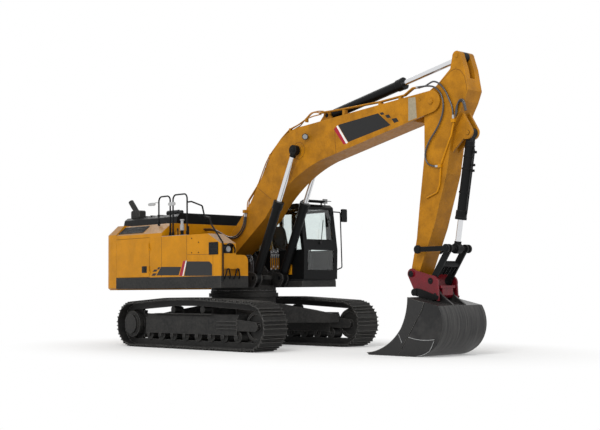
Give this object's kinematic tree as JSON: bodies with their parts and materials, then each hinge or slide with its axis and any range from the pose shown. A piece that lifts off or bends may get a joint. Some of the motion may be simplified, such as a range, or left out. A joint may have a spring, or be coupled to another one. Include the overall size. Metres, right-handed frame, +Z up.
{
  "type": "crawler excavator",
  "caption": "Large crawler excavator with slewing house, two-piece working arm, quick coupler, bucket, opening doors and engine hood.",
  "frame": {"origin": "on the ground, under the middle of the machine's bounding box, midway between the tracks", "axes": "+X forward to the boom and bucket, +Y to the operator's left (cab side), +Z up"},
  "size_m": [9.8107, 3.19, 5.4333],
  "materials": {
    "bare_steel": "worn bare steel",
    "black_paint": "satin black paint",
    "chrome_rod": "polished chrome",
    "engine_iron": "grey cast iron",
    "frame_paint": "matt black frame paint, dusty",
    "hose_rubber": "black hose rubber",
    "lamp_lens": "clear lamp lens",
    "ochre_paint": "satin ochre yellow paint",
    "red_paint": "satin dark red paint",
    "seat_fabric": "dark seat cloth",
    "track_steel": "dark track steel with worn bars",
    "window_glass": "tinted cab glass"
  },
  "bodies": {
    "undercarriage": {"carbody": "frame_paint", "slew_ring": "frame_paint", "track_right": "track_steel", "track_left": "track_steel", "track_frame_right": "frame_paint", "track_frame_left": "frame_paint", "final_drives": "frame_paint", "travel_motors": "frame_paint", "idlers": "track_steel", "bottom_rollers": "track_steel", "carrier_rollers": "track_steel"},
    "house": {"house_frame": "frame_paint", "counterweight": "ochre_paint", "engine_room": "ochre_paint", "engine_block": "engine_iron", "tank": "ochre_paint", "nose_bay": "ochre_paint", "left_bay": "ochre_paint", "cowl": "black_paint", "exhaust": "bare_steel", "grilles": "black_paint", "foot_hoses": "hose_rubber", "lamps": "lamp_lens", "handrails": "black_paint", "cab_shell": "black_paint", "cab_glass": "window_glass", "cab_visor": "black_paint", "cab_mirror": "black_paint", "door_hinges": "ochre_paint", "seat": "seat_fabric", "console": "black_paint"},
    "boom": {"boom": "ochre_paint", "boom_pipes": "ochre_paint", "boom_hoses": "hose_rubber"},
    "arm": {"arm": "ochre_paint", "arm_pipes": "black_paint"},
    "lift_barrels": {"lift_barrels": "black_paint"},
    "lift_rods": {"lift_rods": "chrome_rod", "lift_rod_eyes": "black_paint"},
    "arm_barrel": {"arm_barrel": "black_paint"},
    "arm_rod": {"arm_rod": "chrome_rod", "arm_rod_eye": "black_paint"},
    "bucket_barrel": {"bucket_barrel": "black_paint"},
    "bucket_rod": {"bucket_rod": "chrome_rod", "bucket_rod_eye": "black_paint"},
    "side_links": {"side_links": "black_paint"},
    "power_link": {"power_link": "black_paint"},
    "bucket": {"coupler": "red_paint", "bucket": "black_paint", "bucket_edge": "black_paint"},
    "engine_hood": {"engine_hood": "black_paint"},
    "right_door": {"right_door": "ochre_paint"},
    "left_rear_door": {"left_rear_door": "ochre_paint"},
    "left_front_door": {"left_front_door": "ochre_paint"},
    "cab_door": {"cab_door": "black_paint", "door_glass": "window_glass"}
  },
  "joints": [
    {"name": "house_slew", "type": "hinge", "parent": "undercarriage", "child": "house", "pos_m": [-1.465, 0, 1.2003], "axis": [0, 0, 1], "continuous": true},
    {"name": "boom_lift", "type": "hinge", "parent": "house", "child": "boom", "pos_m": [-1.715, 0, 2.02], "axis": [0, -1, 0], "range_deg": [-52, 34], "deforming": ["foot_hoses"]},
    {"name": "lift_barrel_pivot", "type": "hinge", "parent": "house", "child": "lift_barrels", "pos_m": [-0.625, 0, 1.46], "axis": [0, -1, 0], "range_deg": [-56.5, 37]},
    {"name": "lift_rod_slide", "type": "slide", "parent": "lift_barrels", "child": "lift_rods", "axis": [0.426, 0, 0.9047], "range_m": [-0.942, 0.616]},
    {"name": "arm_swing", "type": "hinge", "parent": "boom", "child": "arm", "pos_m": [4.095, 0, 4.59], "axis": [0, 1, 0], "range_deg": [-74, 32], "deforming": ["boom_hoses"]},
    {"name": "arm_barrel_pivot", "type": "hinge", "parent": "boom", "child": "arm_barrel", "pos_m": [1.265, 0, 4.69], "axis": [0, 1, 0], "range_deg": [-10.4, 4.6]},
    {"name": "arm_rod_slide", "type": "slide", "parent": "arm_barrel", "child": "arm_rod", "axis": [0.9821, 0, 0.1883], "range_m": [-0.982, 0.426]},
    {"name": "bucket_curl", "type": "hinge", "parent": "arm", "child": "bucket", "pos_m": [3.601, 0, 1.476], "axis": [0, 1, 0], "range_deg": [-35, 115]},
    {"name": "side_link_pivot", "type": "hinge", "parent": "arm", "child": "side_links", "pos_m": [3.775, 0, 1.915], "axis": [0, 1, 0], "range_deg": [-24, 78.5]},
    {"name": "power_link_pivot", "type": "hinge", "parent": "side_links", "child": "power_link", "pos_m": [4.435, 0, 1.915], "axis": [0, 1, 0], "range_deg": [-35, 11]},
    {"name": "bucket_barrel_pivot", "type": "hinge", "parent": "arm", "child": "bucket_barrel", "pos_m": [4.805, 0, 3.955], "axis": [0, 1, 0], "range_deg": [-1.1, 3.5]},
    {"name": "bucket_rod_slide", "type": "slide", "parent": "bucket_barrel", "child": "bucket_rod", "axis": [-0.1785, 0, -0.9839], "range_m": [-0.2335, 0.7635]},
    {"name": "engine_hood_hinge", "type": "hinge", "parent": "house", "child": "engine_hood", "pos_m": [-3.884, 0, 2.894], "axis": [0, -1, 0], "range_deg": [0, 60]},
    {"name": "right_door_hinge", "type": "hinge", "parent": "house", "child": "right_door", "pos_m": [-2.872, -1.504, 1.712], "axis": [0, 0, 1], "range_deg": [0, 100]},
    {"name": "left_rear_door_hinge", "type": "hinge", "parent": "house", "child": "left_rear_door", "pos_m": [-4.124, 1.504, 1.712], "axis": [0, 0, 1], "range_deg": [0, 100]},
    {"name": "left_front_door_hinge", "type": "hinge", "parent": "house", "child": "left_front_door", "pos_m": [-3.2415, 1.504, 1.712], "axis": [0, 0, 1], "range_deg": [0, 100]},
    {"name": "cab_door_hinge", "type": "hinge", "parent": "house", "child": "cab_door", "pos_m": [-1.405, 1.504, 1.73], "axis": [0, 0, 1], "range_deg": [0, 160]}
  ],
  "couplings": [
    {"joint": "lift_barrel_pivot", "follows": "boom_lift", "ratio": 1.078},
    {"joint": "lift_rod_slide", "follows": "boom_lift", "m_per_rad": 1.0345},
    {"joint": "arm_barrel_pivot", "follows": "arm_swing", "ratio": 0.1376},
    {"joint": "arm_rod_slide", "follows": "arm_swing", "m_per_rad": 0.7587},
    {"joint": "side_link_pivot", "follows": "bucket_curl", "ratio": 0.68},
    {"joint": "power_link_pivot", "follows": "bucket_curl", "ratio": -0.3},
    {"joint": "bucket_barrel_pivot", "follows": "bucket_curl", "ratio": 0.03},
    {"joint": "bucket_rod_slide", "follows": "bucket_curl", "m_per_rad": 0.38}
  ]
}
